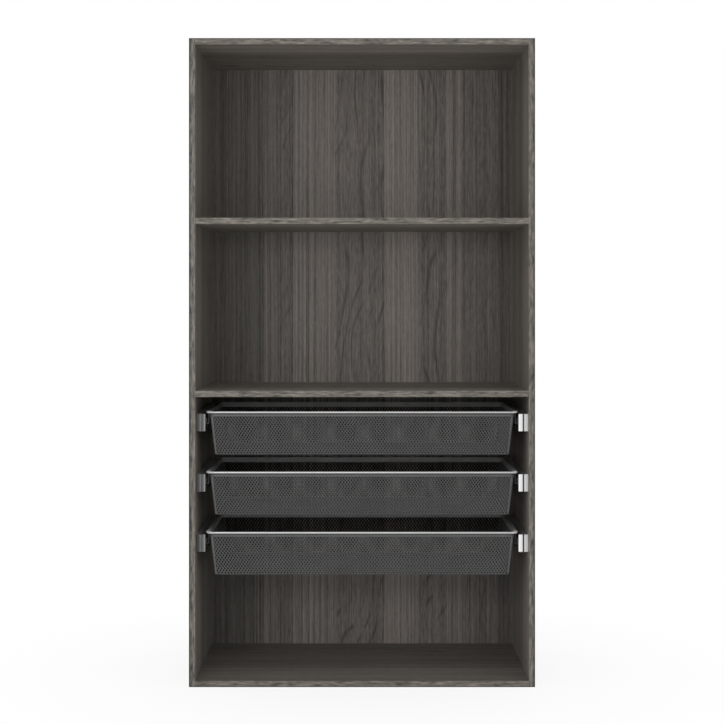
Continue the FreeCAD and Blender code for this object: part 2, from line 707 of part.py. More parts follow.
def check_and_write():
    doc.recompute()
    failed = [item.Name for item in doc.Objects if {"Invalid", "Error"} & set(item.State)]
    if failed:
        raise RuntimeError(f"failed features: {failed}")
    for item in doc.Objects:
        if item.TypeId in CUTTING_FEATURES and item.Shape.Volume >= item.BaseFeature.Shape.Volume:
            raise RuntimeError(f"{item.Name} cuts nothing")
    for part in sub_parts:
        if part.Shape.isNull() or not part.Shape.isValid():
            raise RuntimeError(f"bad shape in {part.Label}")
    os.makedirs("parts", exist_ok=True)
    for part in sub_parts:
        part.Shape.exportStep(f"parts/{part.Label}.step")
    print(f"{len(sub_parts)} sub-parts written")


for side_name, side_sign in SIDES.items():
    side_panel(side_name, side_sign)
horizontal_board("top_panel", "0", REAR, True, TOP_LEVEL)
horizontal_board("upper_shelf", "shelf_end_play", f"({BACK_FACE} - shelf_back_play)", False, None)
horizontal_board("lower_shelf", "shelf_end_play", f"({BACK_FACE} - shelf_back_play)", False, None)
horizontal_board("bottom_panel", "0", REAR, False, "board")
back_panel()
edging_strips()
board_fixings()
runner_screws()
runner_caps()
for basket_name in BASKETS:
    spacer_tubes(basket_name)
    for side_name, side_sign in SIDES.items():
        cabinet_rail(basket_name, side_name, side_sign)
        plain_rail(basket_name, side_name, side_sign, "middle", middle_section())
        plain_rail(basket_name, side_name, side_sign, "inner", inner_section())
    ball_cages(basket_name, "outer", OUTER_CAGE_WEB, OUTER_ROW)
    ball_cages(basket_name, "inner", INNER_CAGE_WEB, INNER_ROW)
    basket_pan(basket_name)
    basket_rim(basket_name)
basket_hooks()
check_and_write()
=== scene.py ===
import json
import math

import bpy
from bpy.props import FloatProperty, FloatVectorProperty, PointerProperty
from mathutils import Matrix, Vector

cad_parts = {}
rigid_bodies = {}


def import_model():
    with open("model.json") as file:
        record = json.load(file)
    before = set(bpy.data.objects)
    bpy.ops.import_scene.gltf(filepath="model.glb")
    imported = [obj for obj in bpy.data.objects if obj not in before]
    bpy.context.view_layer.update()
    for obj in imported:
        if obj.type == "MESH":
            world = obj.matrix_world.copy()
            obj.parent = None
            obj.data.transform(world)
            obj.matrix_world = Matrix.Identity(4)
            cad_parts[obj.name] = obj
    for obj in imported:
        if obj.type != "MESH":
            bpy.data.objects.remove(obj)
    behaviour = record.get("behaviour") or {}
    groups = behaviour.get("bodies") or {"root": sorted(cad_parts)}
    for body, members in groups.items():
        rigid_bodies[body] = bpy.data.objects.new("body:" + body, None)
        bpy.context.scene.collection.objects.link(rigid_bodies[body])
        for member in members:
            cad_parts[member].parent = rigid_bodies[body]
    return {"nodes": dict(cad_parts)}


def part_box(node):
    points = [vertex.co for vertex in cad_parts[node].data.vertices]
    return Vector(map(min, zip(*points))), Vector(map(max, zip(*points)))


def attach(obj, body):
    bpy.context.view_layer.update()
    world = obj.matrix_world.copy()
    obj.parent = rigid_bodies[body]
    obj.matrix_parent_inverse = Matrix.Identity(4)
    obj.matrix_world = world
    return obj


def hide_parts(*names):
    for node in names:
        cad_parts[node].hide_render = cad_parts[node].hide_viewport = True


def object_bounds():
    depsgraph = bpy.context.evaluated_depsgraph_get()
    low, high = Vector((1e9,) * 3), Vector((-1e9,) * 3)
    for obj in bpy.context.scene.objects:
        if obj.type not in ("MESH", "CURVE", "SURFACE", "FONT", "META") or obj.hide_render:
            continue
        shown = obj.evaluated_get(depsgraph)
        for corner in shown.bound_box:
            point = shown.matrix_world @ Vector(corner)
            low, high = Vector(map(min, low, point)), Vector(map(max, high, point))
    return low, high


bl_info = {
    "name": "Wardrobe Frame Finish",
    "version": (1, 0, 0),
    "blender": (4, 5, 0),
    "location": "View3D > Sidebar > Wardrobe",
    "description": "Dresses a wardrobe frame and its mesh baskets in oak foil, powder coat and steel",
    "category": "Object",
}

# The startup objects make room for the frame
for leftover in list(bpy.data.objects):
    bpy.data.objects.remove(leftover)
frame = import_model()
CAD_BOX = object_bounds()
FRONT = CAD_BOX[0].y
DEPTH = CAD_BOX[1].y - CAD_BOX[0].y
WIDTH = CAD_BOX[1].x - CAD_BOX[0].x
HEIGHT = CAD_BOX[1].z

BASKETS = ("top", "middle", "bottom")
SIDES = ("left", "right")
RAILS = ("cabinet", "middle", "inner")
UPRIGHTS = ("left_side_panel", "right_side_panel")
LEVELS = ("top_panel", "bottom_panel", "upper_shelf", "lower_shelf")

# Finishes of a mesh pan, in the order of its material slots; the inside finish is painted shade and the
# corner finish a painted highlight
COAT, INSIDE_SHADE, CORNER_HIGHLIGHT, FOLD, BAND = range(5)
# Points of a piece that lie nearer than this are one point
TOUCHING = 0.00001


# Sizes and colours that a user would change

def colour(name, description, *default):
    return FloatVectorProperty(
        name=name, description=description, subtype="COLOR_GAMMA", default=default, min=0, max=1)


def neutral(name, description, level):
    return colour(name, description, level, level, level)


def length(name, description, default):
    return FloatProperty(
        name=name, description=description, default=default, unit="LENGTH", precision=4)


def fraction(name, description, default):
    return FloatProperty(
        name=name, description=description, default=default, subtype="FACTOR", min=0, max=1)


class OakFoil(bpy.types.PropertyGroup):
    light: colour("Light oak", "Colour of the pale strips of the foil", 0.52, 0.491, 0.468)
    dark: colour("Dark oak", "Colour of the deep strips of the foil", 0.33, 0.311, 0.293)
    grey: colour("Grey cast", "Cast that takes the warmth out of some strips", 0.98, 1.0, 0.988)
    line: colour("Ring lines", "Colour of the thin ring lines and pores", 0.2, 0.185, 0.17)
    edging: colour("Edging", "Colour of the front edging", 0.392, 0.373, 0.347)
    # Painted shade: the dark rim of the edging along the carcass outline
    seam: colour("Edging rim", "Colour of the edging along the carcass outline", 0.13, 0.124, 0.115)
    core: colour("Chipboard", "Colour of the bare rear edges", 0.66, 0.56, 0.43)
    backing: colour("Backing", "Colour of the rear of the back panel", 0.36, 0.33, 0.3)
    # Painted light: the inner faces are printed lighter than the outer ones by this much, to make up for
    # the shade inside the carcass
    inside_painted_light: fraction("Outer depth", "How much deeper in tone the outer faces are", 0.6)
    front_strip: length("Front strip", "Depth of the strips along the front of each board", 0.178)
    outline_shade_width: length("Rim width", "Width of the dark rim of the edging", 0.003)
    easing: length("Easing", "Rounding of the edging's corners", 0.0004)


class MetalFinish(bpy.types.PropertyGroup):
    zinc: colour("Zinc plate", "Colour of rails, bolts and screws", 0.78, 0.78, 0.79)
    anodised: colour("Anodised", "Colour of the spacer tubes", 0.8, 0.8, 0.81)
    casting: colour("Casting", "Colour of the cam locks", 0.62, 0.62, 0.63)
    cage: colour("Cage", "Colour of the ball cages", 0.68, 0.67, 0.66)
    hook: neutral("Hooks", "Colour of the basket hooks", 0.34)
    beech: colour("Beech", "Colour of the dowels", 0.74, 0.6, 0.43)
    # The right caps carry a painted reflection and the left caps painted shade; the real caps are alike
    right_slide_painted_light: neutral("Right slide caps", "Colour of the slide caps on the right", 0.95)
    right_spacer_painted_light: neutral("Right spacer caps", "Colour of the spacer caps on the right", 0.87)
    left_slide_painted_shade: neutral("Left slide caps", "Colour of the slide caps on the left", 0.375)
    left_spacer_painted_shade: neutral("Left spacer caps", "Colour of the spacer caps on the left", 0.245)
    cap_easing: length("Cap easing", "Rounding of the corners of the runner caps", 0.0006)


class BasketMesh(bpy.types.PropertyGroup):
    coat: neutral("Powder coat", "Colour of the outside of the mesh", 0.352)
    # Painted shade: the inside of the mesh is far darker than its outside
    lining: neutral("Inside", "Colour of the inside of the mesh", 0.055)
    # Painted highlight: the corners of the pan are paler than the rest of the mesh
    corner_highlight: neutral("Highlit corners", "Colour of the highlit corners of the pan", 0.44)
    fold: neutral("Folds", "Colour of the hem, the band's outer face and the inside of corners", 0.27)
    rim: neutral("Rim coat", "Colour of the upper side of the rim", 0.58)
    collar: neutral("Collar", "Colour of the collar under the rim", 0.33)
    # Painted highlight: the rolled front of the rim is bright along the front only, and paler still
    # where it turns
    bead_highlight: neutral("Rim bead", "Colour of the bright front run of the rim", 0.72)
    bead_end_highlight: neutral("Bead ends", "Colour of the bead where it turns at the front corners", 0.82)
    draft: length("Draft", "How far each wall leans in from the rim to the floor", 0.014)
    corner: length("Corner", "Radius of the upright corners", 0.014)
    sheet: length("Sheet", "Thickness of the mesh", 0.001)
    pitch: length("Pitch", "Distance between strands along a row", 0.0094)
    row: length("Row", "Height of one diamond of the mesh", 0.0128)
    strand: length("Strand", "Width of a strand", 0.0022)
    corner_share: fraction("Corner share", "Share of each bend at the rim that is unpierced", 0.55)
    hem: length("Hem", "Height of the solid fold round the floor", 0.004)
    band: length("Band", "Height of the unpierced band behind the rim", 0.0125)
    bead_height: length("Bead height", "Height of the bright rolled part of the rim", 0.007)


class StudioSetup(bpy.types.PropertyGroup):
    distance: length("Distance", "From the camera to the front of the carcass", 5.01)
    eye: length("Eye level", "Height of the camera", 1.107)
    view_width: length("View width", "Width of the picture at the front of the carcass", 2.0915)
    drop: FloatProperty(name="Drop", description="Vertical shift of the picture", default=-0.0802)
    sky: fraction("Sky", "Strength of the even light from all round", 0.88)
    key: fraction("Key", "Share of full light from the upper softbox", 0.165)
    fill: fraction("Fill", "Share of full light from the lower softbox", 0.02)
    key_height: length("Key height", "Height of the upper softbox", 1.5)
    fill_height: length("Fill height", "Height of the lower softbox", 0.45)
    softbox: length("Softbox", "Width of each softbox", 2.2)


# Shader nodes

def linear(rgb, factor=1):
    """A colour as written, times a factor, in the linear values that a shader takes."""
    levels = [min(c * factor, 1) for c in rgb]
    return [c / 12.92 if c <= 0.04045 else ((c + 0.055) / 1.055) ** 2.4 for c in levels] + [1]


class Socket:
    """An output of a shader node. Arithmetic on it adds Math nodes."""

    def __init__(self, shader, output):
        self.shader = shader
        self.output = output

    def __getitem__(self, name):
        """Another output of the same node."""
        return Socket(self.shader, self.output.node.outputs[name])

    def math(self, operation, *values):
        return self.shader.node("ShaderNodeMath", {"operation": operation}, dict(enumerate(values)))

    def __add__(self, other):
        return self.math("ADD", self, other)

    __radd__ = __add__

    def __sub__(self, other):
        return self.math("SUBTRACT", self, other)

    def __rsub__(self, other):
        return self.math("SUBTRACT", other, self)

    def __mul__(self, other):
        return self.math("MULTIPLY", self, other)

    __rmul__ = __mul__

    def __truediv__(self, other):
        return self.math("DIVIDE", self, other)

    def __pow__(self, other):
        return self.math("POWER", self, other)

    def __abs__(self):
        return self.math("ABSOLUTE", self)

    def sine(self):
        return self.math("SINE", self)

    def larger(self, other):
        return self.math("MAXIMUM", self, other)

    def smaller(self, other):
        return self.math("MINIMUM", self, other)

    def within(self, low, high):
        return self.larger(low).smaller(high)

    def above(self, start, end):
        """0 below start, 1 above end, and a smooth step between."""
        settings = {"interpolation_type": "SMOOTHSTEP"}
        sockets = {"Value": self, "From Min": start, "From Max": end}
        return self.shader.node("ShaderNodeMapRange", settings, sockets)


class Shader:
    """The node tree of a material or of the world."""

    def __init__(self, owner):
        owner.use_nodes = True
        self.owner = owner
        self.tree = owner.node_tree
        self.tree.nodes.clear()

    def node(self, kind, settings=None, sockets=None):
        made = self.tree.nodes.new(kind)
        for name, setting in (settings or {}).items():
            if name == "stops":
                self.set_stops(made.color_ramp, setting)
            else:
                setattr(made, name, setting)
        for key, value in (sockets or {}).items():
            if isinstance(value, Socket):
                self.tree.links.new(value.output, made.inputs[key])
            else:
                made.inputs[key].default_value = value
        return Socket(self, made.outputs[0]) if made.outputs else None

    def set_stops(self, ramp, stops):
        ramp.interpolation = "CONSTANT"
        while len(ramp.elements) < len(stops):
            ramp.elements.new(1)
        for element, (position, *values) in zip(ramp.elements, stops):
            element.position = position
            element.color = (*values, 1)

    def axes(self):
        place = self.node("ShaderNodeTexCoord")["Object"]
        return self.node("ShaderNodeSeparateXYZ", sockets={"Vector": place})

    def noise(self, x, y, z, detail=2):
        """Noise from 0 to 1. Its scale is in the coordinates, as changes per metre."""
        place = self.node("ShaderNodeCombineXYZ", sockets={"X": x, "Y": y, "Z": z})
        sockets = {"Vector": place, "Scale": 1, "Detail": detail}
        return self.node("ShaderNodeTexNoise", sockets=sockets)

    def ripple(self, x, y, z, detail=2):
        """Noise that swings about zero."""
        return self.noise(x, y, z, detail) - 0.5

    def speckle(self, axes, scale, detail=2):
        """Noise about zero, with the same scale in every direction."""
        return self.ripple(*[axes[axis] * scale for axis in "XYZ"], detail)

    def mix(self, first, second, share, blend="MIX"):
        settings = {"data_type": "RGBA", "blend_type": blend, "clamp_factor": False}
        return self.node("ShaderNodeMix", settings, {0: share, 6: first, 7: second})[2]

    def finish(self, height, depth, **sockets):
        """A Principled surface with these sockets and a bump of that depth."""
        bump = self.node("ShaderNodeBump", sockets={"Height": height, "Distance": depth})
        named = {"Normal": bump}
        for name, value in sockets.items():
            named[name.replace("_", " ").title().replace("Ior", "IOR")] = value
        surface = self.node("ShaderNodeBsdfPrincipled", sockets=named)
        self.node("ShaderNodeOutputMaterial", sockets={"Surface": surface})
        return self.owner


def new_shader(name):
    return Shader(bpy.data.materials.new(name))


# Oak foil

def oak_foil(name, along, across, strips, start, span, rear):
    """Printed foil of sawn strips side by side, each straight-lined or with flat-sawn figure.

    A strip is given by its start, as a share of the span, then its tone, figure and grey cast.
    """
    oak = bpy.context.scene.oak_foil
    shader = new_shader(name)
    axes = shader.axes()
    run, reach = axes[along], axes[across]
    layer = axes[({"X", "Y", "Z"} - {along, across}).pop()] * 9
    sway = shader.ripple(reach * 3, run * 1.3, layer, 1)
    reach = reach + sway * 0.006
    broad = shader.ripple(reach * 40, run * 0.4, layer)
    pinstripe = shader.ripple(reach * 230, run * 0.4, layer, 1)
    streak = shader.ripple(reach * 260, run * 7, layer, 1)
    fleck = shader.ripple(reach * 330, run * 38, layer, 1)
    fine = shader.ripple(reach * 900, run * 9, layer)

    place = (reach + pinstripe * 0.03 - start) / span
    ramp = shader.node("ShaderNodeValToRGB", {"stops": strips}, {"Fac": place})
    strip = shader.node("ShaderNodeSeparateColor", sockets={"Color": ramp})
    tone, figure, cast = strip["Red"], strip["Green"], strip["Blue"]

    lines = ring_lines(shader, reach, run, layer) * figure
    pores = shader.noise(reach * 700, run * 45, layer, 1).above(0.62, 0.7)

    # The outer faces of the carcass are known by their place; the other faces are printed lighter,
    # painted light for the shade inside the carcass
    outer_side = abs(axes["X"]).above(WIDTH / 2 - 0.002, WIDTH / 2 - 0.001)
    outer_top = axes["Z"].above(HEIGHT - 0.002, HEIGHT - 0.001)
    tone = tone - outer_side.larger(outer_top) * oak.inside_painted_light
    straight = pinstripe * (2.7 - figure * 0.8) + streak + fleck * (1 + figure * 0.8)
    tone = tone + broad * 0.5 + straight * (tone * 0.5 + 0.45) + fine * 0.5
    face = shader.mix(linear(oak.dark), linear(oak.light), tone.within(-0.3, 1.6))
    face = shader.mix(face, linear(oak.grey), cast, "MULTIPLY")
    face = shader.mix(face, linear(oak.line), lines * 0.6)
    face = shader.mix(face, linear(oak.line), pores * 0.3)

    bare, behind = bare_rear(shader, axes, rear)
    face = shader.mix(face, bare, behind)
    relief = fine * 0.5 + streak * 0.5 - lines * 0.4 - pores * 0.6
    rough = 0.56 + fine * 0.2 + behind * 0.25
    return shader.finish(relief, 0.0002, base_color=face, roughness=rough, specular_ior_level=0.3)


def ring_lines(shader, reach, run, layer):
    """The thin broken arches of flat-sawn growth rings."""
    arch = shader.noise(reach * 5, run * 2.2, layer, 1)
    ring = arch * 7 + (reach - run * 0.11) * 26
    wave = (ring * math.tau).sine() * 0.5 + 0.5
    broken = shader.noise(reach * 50, run * 3, layer).above(0.38, 0.6)
    return wave ** 9 * broken


def bare_rear(shader, axes, rgb):
    """The flaky colour of a board's bare rear, and where it faces the rear."""
    normal = shader.node("ShaderNodeNewGeometry")["True Normal"]
    facing = shader.node("ShaderNodeSeparateXYZ", sockets={"Vector": normal})
    flakes = shader.noise(*[axes[axis] * 420 for axis in "XYZ"], 3).above(0.35, 0.65)
    return shader.mix(linear(rgb, 0.7), linear(rgb), flakes), facing["Y"].above(0.4, 0.6)


def edging_foil(name, along, across):
    """Front edging: the same print, finely streaked, with painted shade along the carcass outline: a
    dark rim, and a darkening towards the outer sides.
    """
    oak = bpy.context.scene.oak_foil
    shader = new_shader(name)
    axes = shader.axes()
    run, reach = axes[along], axes[across]
    reach = reach + shader.ripple(reach * 30, run * 7, 0.0, 1) * 0.012
    wavy = shader.ripple(reach * 150, run * 14, 2.0, 1)
    streak = shader.ripple(reach * 240, run * 42, 4.0, 1)
    fine = shader.ripple(reach * 900, run * 25, 6.0)
    line = shader.noise(reach * 300, run * 9, 9.0, 1).above(0.6, 0.7)

    side_gap = WIDTH / 2 - abs(axes["X"])
    level_gap = axes["Z"].smaller(HEIGHT - axes["Z"])
    # Painted shade: the tone falls over the last 12 mm towards the outer sides
    tone = wavy * 1.7 + streak * 1.9 + fine * 0.9 + 0.2 + side_gap.above(0.002, 0.012) * 0.35
    face = shader.mix(linear(oak.edging, 0.7), linear(oak.edging, 1.28), tone.within(-0.2, 1.2))
    face = shader.mix(face, linear(oak.line), line * 0.35)
    # Painted shade: a dark rim along the outline of the carcass
    level_outline_shade = 1 - level_gap.above(oak.outline_shade_width * 0.7, oak.outline_shade_width)
    side_outline_shade = 1 - side_gap.above(oak.outline_shade_width * 0.7, oak.outline_shade_width * 1.1)
    face = shader.mix(face, linear(oak.seam), level_outline_shade.larger(side_outline_shade) * 0.9)
    rough = 0.5 + fine * 0.2
    return shader.finish(
        fine + streak, 0.00015, base_color=face, roughness=rough, specular_ior_level=0.3)


# Metals, plastics and small pieces

def rolled_metal(name, rgb, along, roughness, contrast=0.12):
    """Drawn or plated metal with fine lines along its length and faint stains."""
    shader = new_shader(name)
    axes = shader.axes()
    lines = shader.ripple(*[axes[axis] * (6 if axis == along else 900) for axis in "XYZ"])
    stains = shader.speckle(axes, 35, 3)
    tone = lines * 0.5 + stains + 0.5
    face = shader.mix(linear(rgb, 1 - contrast), linear(rgb), tone.within(0, 1))
    rough = roughness + lines * 0.25 + stains * 0.1
    return shader.finish(lines, 0.00005, base_color=face, metallic=1.0, roughness=rough)


def cast_metal(name, rgb):
    """Die-cast metal with a fine grainy skin."""
    shader = new_shader(name)
    grains = shader.speckle(shader.axes(), 1500, 3)
    face = shader.mix(linear(rgb, 0.82), linear(rgb), grains + 0.5)
    rough = 0.48 + grains * 0.3
    return shader.finish(grains, 0.0001, base_color=face, metallic=1.0, roughness=rough)


def turned_beech(name, rgb):
    """Plain beech with its grain and short dark flecks along X."""
    shader = new_shader(name)
    axes = shader.axes()
    grain = shader.ripple(axes["X"] * 60, axes["Y"] * 1200, axes["Z"] * 1200)
    flecks = shader.noise(axes["X"] * 300, axes["Y"] * 2500, axes["Z"] * 2500, 1).above(0.6, 0.7)
    face = shader.mix(linear(rgb, 0.8), linear(rgb), grain + 0.6)
    face = shader.mix(face, linear(rgb, 0.55), flecks * 0.5)
    return shader.finish(grain, 0.0001, base_color=face, roughness=0.6 + grain * 0.2)


def moulded_cap(name, left, right, inner, outer, seam):
    """Satin caps with upright ribs and a sunken line where two caps meet, with painted light: lighter on
    the right, palest at the inner edge, dark in the sunken line.
    """
    shader = new_shader(name)
    axes = shader.axes()
    out = abs(axes["X"])
    ribs = shader.ripple(out * 420, 3.0, axes["Z"] * 4, 1)
    grain = shader.speckle(axes, 1800)
    # Painted light: the caps on the right are painted lighter than those on the left, and each grows
    # paler from its outer edge to its inner edge
    on_right = axes["X"].above(-0.01, 0.01)
    pale = shader.mix(linear(left, 1.2), linear(right, 1.04), on_right)
    deep = shader.mix(linear(left, 0.7), linear(right, 0.96), on_right)
    tone = (outer - out) / (outer - inner) + ribs * 1.2 + grain * 0.3
    face = shader.mix(deep, pale, tone.within(0, 1))
    # A painted highlight runs as a pale line 2.5 mm from the inner edge
    edge = 1 - abs(out - inner - 0.0025).above(0.0008, 0.002)
    face = shader.mix(face, linear(right, 1.3), edge * (0.12 + on_right * 0.6))
    # The groove lies 1.5 mm outside the seam on the right, and as far inside it on the left; its dark
    # colour is painted shade
    wider = on_right * 0.0006
    groove_and_shade = 1 - abs(out - seam - on_right * 0.003 + 0.0015).above(wider + 0.0012, wider + 0.002)
    face = shader.mix(face, linear(left, 0.3), groove_and_shade * (0.3 + on_right * 0.7))
    relief = ribs + grain * 0.4 - groove_and_shade * 2
    rough = 0.38 + grain * 0.2
    return shader.finish(relief, 0.00012, base_color=face, roughness=rough, specular_ior_level=0.4)


def powder_coat(name, rgb, gloss=0.3):
    """Powder coat with its fine orange-peel skin."""
    shader = new_shader(name)
    face, skin = coat_skin(shader, shader.axes(), rgb)
    rough = 0.5 + skin * 0.25
    return shader.finish(skin, 0.00008, base_color=face, roughness=rough, specular_ior_level=gloss)


def coat_skin(shader, axes, rgb):
    """The colour of a powder coat, and the skin that varies it."""
    skin = shader.speckle(axes, 1100)
    clouds = shader.speckle(axes, 22)
    tone = skin * 0.8 + clouds + 0.5
    return shader.mix(linear(rgb, 0.88), linear(rgb, 1.08), tone), skin


def rim_finish(name, low, high):
    """A coated rim over a darker collar, with painted highlights: its rolled front run is bare bright
    metal along the front, and pale paint at the front corners.
    """
    basket = bpy.context.scene.basket_mesh
    shader = new_shader(name)
    axes = shader.axes()
    edge = high.z - basket.bead_height
    upper = axes["Z"].above(edge - 0.0002, edge + 0.0002)
    # Painted highlight: bright bare metal only within 26 to 40 mm of the front
    bead_highlight = upper * (1 - axes["Y"].above(low.y + 0.026, low.y + 0.04))
    bend = abs(axes["X"]).above(high.x - 0.026, high.x - 0.01)
    # Painted shade darkens the collar close under the bead, and the rear run is coated down to its foot
    # in the paler rim coat, painted light for the shade at the rear
    shaded = axes["Z"].above(edge - 0.005, edge - 0.003) * (1 - upper)
    collar, skin = coat_skin(shader, axes, basket.collar)
    collar = shader.mix(collar, linear(basket.collar, 0.45), shaded * 0.8)
    coat = coat_skin(shader, axes, basket.rim)[0]
    coated = upper.larger(axes["Y"].above(high.y - 0.03, high.y - 0.02))
    # Painted highlight: pale paint where the front run turns at the corners
    bright = shader.mix(linear(basket.bead_highlight), linear(basket.bead_end_highlight), bend)
    face = shader.mix(shader.mix(collar, coat, coated), bright, bead_highlight)
    bare = bead_highlight * (1 - bend)
    rough = 0.36 + skin * 0.2 - bead_highlight * 0.06
    return shader.finish(skin, 0.00006, base_color=face, metallic=bare, roughness=rough)


def dress(material, *names):
    """Gives pieces of the frame one material in place of their own."""
    for name in names:
        slots = frame["nodes"][name].data.materials
        slots.clear()
        slots.append(material)


def ease(width, *names):
    """Rounds the sharp corners of pieces of the frame."""
    for name in names:
        piece = frame["nodes"][name]
        weld = piece.modifiers.new("weld", "WELD")
        weld.merge_threshold = TOUCHING
        bevel = piece.modifiers.new("ease", "BEVEL")
        bevel.width = width
        bevel.segments = 2


def add_object(name, data):
    made = bpy.data.objects.new(name, data)
    bpy.context.scene.collection.objects.link(made)
    return made


# Basket mesh

class PanWall:
    """The tapered wall of a basket, with places given by distance round the rim and share of height."""

    BEND_STEPS = 4

    def __init__(self, low, high, basket):
        self.low = low
        self.high = high
        self.rise = high.z - low.z
        self.draft = basket.draft
        self.corner = basket.corner
        # Strands run from half way up the hem to a tenth of the way up the band
        self.pierced = (basket.hem / 2 / self.rise, 1 - basket.band * 0.9 / self.rise)
        bend = basket.corner * math.pi / 2
        width = high.x - low.x - 2 * basket.corner
        depth = high.y - low.y - 2 * basket.corner
        self.runs = [width, bend, depth, bend] * 2
        self.around = sum(self.runs)
        self.breaks = []
        passed = 0
        for index, run in enumerate(self.runs):
            steps = self.BEND_STEPS if index % 2 else 1
            self.breaks += [passed + run * step / steps for step in range(steps)]
            passed += run

    def place(self, distance, height):
        """A point of the outer face and the direction straight out of it."""
        left = distance % self.around
        index = 0
        while left > self.runs[index] and index < len(self.runs) - 1:
            left -= self.runs[index]
            index += 1
        share = left / self.runs[index]
        inset = self.draft * (1 - height) + self.corner
        x_low, x_high = self.low.x + inset, self.high.x - inset
        y_low, y_high = self.low.y + inset, self.high.y - inset
        corners = [(x_low, y_low), (x_high, y_low), (x_high, y_high), (x_low, y_high)]
        side = index // 2
        start = Vector(corners[side])
        end = Vector(corners[(side + 1) % 4])
        if index % 2:
            turn, centre = side + share, end
        else:
            turn, centre = side, start.lerp(end, share)
        angle = (turn - 1) * math.pi / 2
        out = Vector((math.cos(angle), math.sin(angle), 0))
        point = centre.to_3d() + out * self.corner
        point.z = self.low.z + self.rise * height
        lean = Vector((out.x * self.rise, out.y * self.rise, -self.draft))
        return point, lean.normalized()

    def heights_crossing(self, start, lean):
        """The ends of a leaning strand, and where it passes from one facet of the wall to the next."""
        low, high = self.pierced
        crossings = [low, high]
        for turn in (-1, 0, 1):
            for place in self.breaks:
                height = (place + turn * self.around - start) / lean
                if low < height < high:
                    crossings.append(height)
        return sorted(crossings)


class Strips:
    """Points and faces of many flat strips, gathered into one mesh."""

    CORNER_STEPS = 3

    def __init__(self):
        self.points = []
        self.faces = []
        self.finishes = []

    def ring_faces(self, rings, closed, outer_finish, inner_finish, inner):
        """Joins rings of points with faces; inner lists the sides that face into the basket."""
        count = len(rings[0])
        base = len(self.points)
        for ring in rings:
            self.points += ring
        last = len(rings) if closed else len(rings) - 1
        for i in range(last):
            near, far = base + i * count, base + (i + 1) % len(rings) * count
            for k in range(count):
                following = (k + 1) % count
                self.faces.append((near + k, far + k, far + following, near + following))
                self.finishes.append(inner_finish if k in inner else outer_finish)
        if not closed:
            end = base + (len(rings) - 1) * count
            self.faces.append(tuple(base + k for k in range(count)))
            self.faces.append(tuple(end + k for k in reversed(range(count))))
            self.finishes += [outer_finish, outer_finish]

    def strand(self, path, width, outer, inner):
        """A flat strip along (point, outward direction) pairs, between two depths under the face."""
        rings = []
        for index, (point, out) in enumerate(path):
            before = path[max(index - 1, 0)][0]
            after = path[min(index + 1, len(path) - 1)][0]
            across = out.cross(after - before).normalized() * (width / 2)
            rings.append([
                point + across - out * outer, point - across - out * outer,
                point - across - out * inner, point + across - out * inner])
        # The face towards the inside of the basket takes the painted shade
        self.ring_faces(rings, False, COAT, INSIDE_SHADE, (2,))

    def sweep(self, wall, section, inner_finish=FOLD, inner=()):
        """A band round the wall, whose section's corners are (depth under the face, height) pairs."""
        rings = []
        for distance in wall.breaks:
            ring = []
            for depth, height in section:
                point, out = wall.place(distance, height / wall.rise)
                flat = Vector((out.x, out.y, 0)).normalized()
                ring.append(point - flat * depth)
            rings.append(ring)
        self.ring_faces(rings, True, FOLD, inner_finish, inner)

    def corner(self, wall, side, basket):
        """The unpierced sheet round one corner, wider at the rim than at the floor."""
        bend = wall.runs[1]
        middle = sum(wall.runs[:side * 2 + 1]) + bend / 2
        low, high = wall.pierced
        steps = range(-self.CORNER_STEPS, self.CORNER_STEPS + 1)
        rings = []
        for height in (low, 0.5, high):
            reach = bend * basket.corner_share * (0.5 + 0.5 * height) / 2
            places = [wall.place(middle + reach * step / self.CORNER_STEPS, height) for step in steps]
            outer = [point for point, out in places]
            inner = [point - out * basket.sheet for point, out in reversed(places)]
            rings.append(outer + inner)
        count = len(steps)
        # The outer face takes the painted highlight of the corners
        self.ring_faces(rings, False, CORNER_HIGHLIGHT, FOLD, range(count, 2 * count - 1))

    def as_mesh(self, name):
        mesh = bpy.data.meshes.new(name)
        mesh.from_pydata(self.points, [], self.faces)
        mesh.polygons.foreach_set("material_index", self.finishes)
        mesh.update()
        return mesh


def clipped(outline, point, direction):
    """The stretch of a line inside a convex anticlockwise outline, as two shares of direction."""
    low, high = -math.inf, math.inf
    for index, corner in enumerate(outline):
        edge = outline[(index + 1) % len(outline)] - corner
        inward = Vector((-edge.y, edge.x))
        gap = inward.dot(point - corner)
        rate = inward.dot(direction)
        # A line along this edge never crosses it
        if abs(rate) < 1e-12:
            continue
        share = -gap / rate
        if rate > 0:
            low = max(low, share)
        else:
            high = min(high, share)
    return low, high


